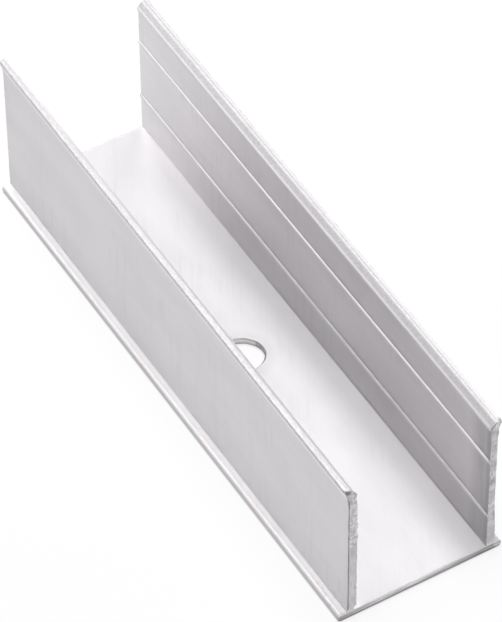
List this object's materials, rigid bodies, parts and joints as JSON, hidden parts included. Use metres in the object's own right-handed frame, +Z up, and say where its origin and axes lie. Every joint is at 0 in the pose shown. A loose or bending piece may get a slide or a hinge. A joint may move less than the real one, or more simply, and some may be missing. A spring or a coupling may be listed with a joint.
{
  "type": "mounting channel",
  "caption": "Short aluminium U-channel with a base wider than its thin walls, flared and bevelled wall tips, fine grip ribs inside and a screw hole in the base.",
  "frame": {"origin": "middle of the underside, on the axis of the screw hole", "axes": "+X along the extrusion, +Y across it, +Z up from the underside to the open mouth of the trough"},
  "size_m": [0.05, 0.014, 0.0141],
  "materials": {
    "aluminium": "satin mill finish"
  },
  "bodies": {
    "root": {"channel_section": "aluminium"}
  },
  "joints": []
}
